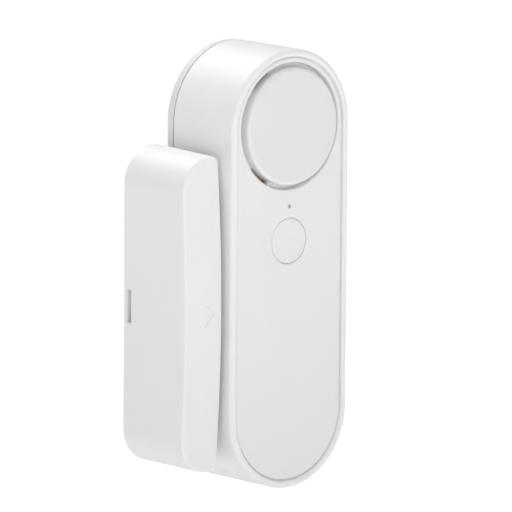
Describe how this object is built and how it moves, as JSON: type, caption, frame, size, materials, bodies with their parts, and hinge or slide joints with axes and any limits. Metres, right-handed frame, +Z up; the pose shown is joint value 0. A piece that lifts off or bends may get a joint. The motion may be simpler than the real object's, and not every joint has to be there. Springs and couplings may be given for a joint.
{
  "type": "door contact sensor",
  "caption": "Wall unit with a round siren, status light and push button on a clip-on bracket, beside a slim crowned magnet unit; both stick on with foam pads.",
  "frame": {"origin": "centre of the wall unit's adhesive face, on the wall plane", "axes": "+Z up, -Y out of the wall towards the viewer, +X to the viewer's right, away from the magnet unit"},
  "size_m": [0.0457, 0.0238, 0.0974],
  "materials": {
    "white_shell": "fine matte moulded ABS",
    "white_panel": "fine matte moulded ABS, slightly cooler white",
    "inner_plastic": "plain moulded ABS",
    "adhesive_foam": "white acrylic foam tape",
    "gasket_foam": "black closed-cell foam",
    "brass_plate": "rolled brass",
    "ceramic": "silvered ceramic",
    "steel": "nickel-plated steel",
    "board_green": "green solder mask",
    "chip_black": "black moulded epoxy",
    "light_pipe": "clear to milky plastic",
    "reed_glass": "clear greenish glass",
    "cell_sleeve": "printed dark sleeve, no text",
    "wire_red": "red PVC",
    "wire_black": "black PVC",
    "ferrite": "dark ferrite",
    "magnet_nickel": "nickel plate"
  },
  "bodies": {
    "bracket_side": {"rear_bracket": "white_shell", "bracket_adhesive_pad": "adhesive_foam"},
    "wall_unit": {"main_housing": "white_shell", "front_panel": "white_panel", "siren_cap": "white_panel", "siren_chamber": "inner_plastic", "piezo_plate": "brass_plate", "piezo_ceramic": "ceramic", "piezo_gasket": "gasket_foam", "piezo_wire_red": "wire_red", "piezo_wire_black": "wire_black", "tact_switch_body": "chip_black", "light_pipe": "light_pipe", "status_led": "light_pipe", "circuit_board": "board_green", "radio_module_board": "board_green", "radio_module_shield": "steel", "microcontroller": "chip_black", "reservoir_capacitor": "ferrite", "reed_switch_glass": "reed_glass", "reed_lead_upper": "steel", "reed_lead_lower": "steel", "step_up_coil": "ferrite", "siren_capacitor": "cell_sleeve", "antenna_coil": "brass_plate", "chassis_screw_1": "steel", "chassis_screw_2": "steel", "chassis_screw_3": "steel", "chassis_screw_4": "steel", "board_screw_left": "steel", "board_screw_right": "steel", "battery_chassis": "inner_plastic", "battery_cell_left": "cell_sleeve", "battery_cell_right": "cell_sleeve", "battery_link_plate": "steel", "battery_positive_plate": "steel", "battery_negative_plate": "steel", "battery_spring_left": "steel", "battery_spring_right": "steel"},
    "button": {"button_cap": "white_panel", "tact_switch_plunger": "chip_black"},
    "magnet_side": {"magnet_base": "inner_plastic", "bar_magnet": "magnet_nickel", "magnet_foam_strip": "gasket_foam", "magnet_adhesive_pad": "adhesive_foam"},
    "magnet_lid": {"magnet_cover": "white_shell"}
  },
  "joints": [
    {"name": "unit_release", "type": "slide", "parent": "bracket_side", "child": "wall_unit", "axis": [0, -1, 0], "range_m": [0, 0.03]},
    {"name": "button_press", "type": "slide", "parent": "wall_unit", "child": "button", "axis": [0, 1, 0], "range_m": [0, 0.0004], "stiffness_N_per_m": 2500},
    {"name": "magnet_travel", "type": "slide", "parent": "bracket_side", "child": "magnet_side", "axis": [-1, 0, 0], "range_m": [0, 0.06]},
    {"name": "cover_release", "type": "slide", "parent": "magnet_side", "child": "magnet_lid", "axis": [0, -1, 0], "range_m": [0, 0.022]}
  ]
}
